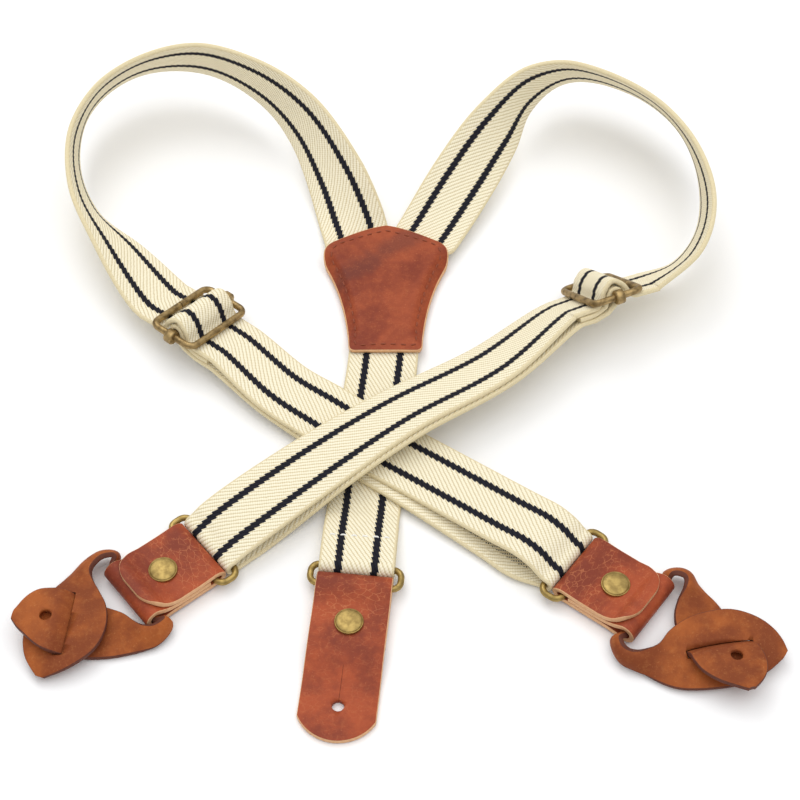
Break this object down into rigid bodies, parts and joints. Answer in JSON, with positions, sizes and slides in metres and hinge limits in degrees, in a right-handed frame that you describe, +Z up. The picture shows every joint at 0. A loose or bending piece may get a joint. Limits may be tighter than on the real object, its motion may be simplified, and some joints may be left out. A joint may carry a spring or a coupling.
{
  "type": "suspenders",
  "caption": "Y-back button suspenders of striped elastic webbing with leather patch, tabs and button loops, lying crossed on a table.",
  "frame": {"origin": "middle of the back face of the leather patch, on the table", "axes": "+Z up from the table; +Y from the tabs towards the shoulder loops; +X completes the right-handed frame"},
  "size_m": [0.2487, 0.2903, 0.0384],
  "materials": {
    "webbing": "cream twill with two dark saw-tooth stripes",
    "patch leather": "glossy reddish tan, lightly crackled, pale raw edges",
    "loop leather": "matte orange tan, dark edges",
    "brown thread": "waxed thread",
    "white thread": "soft thread",
    "brass": "antique, satin",
    "dark brass": "antique, darker, satin"
  },
  "bodies": {
    "webbing_and_patch": {"patch_back": "patch leather", "patch_front": "patch leather", "patch_stitching": "brown thread", "strap_left": "webbing", "strap_right": "webbing", "strap_rear": "webbing", "strap_left_stitching": "white thread", "strap_right_stitching": "white thread", "strap_rear_stitching": "white thread", "slider_bar_left": "dark brass", "slider_bar_right": "dark brass"},
    "ring_left": {"ring_left": "brass"},
    "tab_left": {"tab_left": "patch leather", "rivet_base_left": "brass", "rivet_cap_left": "brass"},
    "ring_right": {"ring_right": "brass"},
    "tab_right": {"tab_right": "patch leather", "rivet_base_right": "brass", "rivet_cap_right": "brass"},
    "ring_rear": {"ring_rear": "brass"},
    "tab_rear": {"tab_rear": "patch leather", "rivet_base_rear": "brass", "rivet_cap_rear": "brass"},
    "button_loop_left": {"button_loop_left": "loop leather"},
    "slider_left": {"slider_frame_left": "dark brass"},
    "button_loop_right": {"button_loop_right": "loop leather"},
    "slider_right": {"slider_frame_right": "dark brass"}
  },
  "joints": [
    {"name": "ring_left_swing", "type": "hinge", "parent": "webbing_and_patch", "child": "ring_left", "pos_m": [-0.05693, -0.11517, 0.0039], "axis": [-0.6293, 0.7771, 0], "range_deg": [-90, 75]},
    {"name": "tab_left_swing", "type": "hinge", "parent": "ring_left", "child": "tab_left", "pos_m": [-0.06267, -0.11983, 0.0039], "axis": [-0.6293, 0.7771, 0], "range_deg": [-75, 75]},
    {"name": "ring_right_swing", "type": "hinge", "parent": "webbing_and_patch", "child": "ring_right", "pos_m": [0.05955, -0.12127, 0.0039], "axis": [-0.6018, -0.7986, 0], "range_deg": [-90, 75]},
    {"name": "tab_right_swing", "type": "hinge", "parent": "ring_right", "child": "tab_right", "pos_m": [0.06545, -0.12573, 0.0039], "axis": [-0.6018, -0.7986, 0], "range_deg": [-75, 75]},
    {"name": "ring_rear_swing", "type": "hinge", "parent": "webbing_and_patch", "child": "ring_rear", "pos_m": [-0.00891, -0.12432, 0.0039], "axis": [-0.9945, 0.1045, 0], "range_deg": [-90, 90]},
    {"name": "tab_rear_swing", "type": "hinge", "parent": "ring_rear", "child": "tab_rear", "pos_m": [-0.00969, -0.13168, 0.0039], "axis": [-0.9945, 0.1045, 0], "range_deg": [-75, 75]},
    {"name": "button_loop_left_swing", "type": "hinge", "parent": "tab_left", "child": "button_loop_left", "pos_m": [-0.08094, -0.13462, 0.0039], "axis": [0.6293, -0.7771, 0], "range_deg": [-60, 80]},
    {"name": "button_loop_right_swing", "type": "hinge", "parent": "tab_right", "child": "button_loop_right", "pos_m": [0.08422, -0.13987, 0.0039], "axis": [0.6018, 0.7986, 0], "range_deg": [-60, 80]},
    {"name": "slider_left_shift", "type": "slide", "parent": "webbing_and_patch", "child": "slider_left", "axis": [0.788, -0.6157, 0], "range_m": [-0.001, 0.001]},
    {"name": "slider_right_shift", "type": "slide", "parent": "webbing_and_patch", "child": "slider_right", "axis": [-0.9135, -0.4067, 0], "range_m": [-0.001, 0.001]}
  ]
}
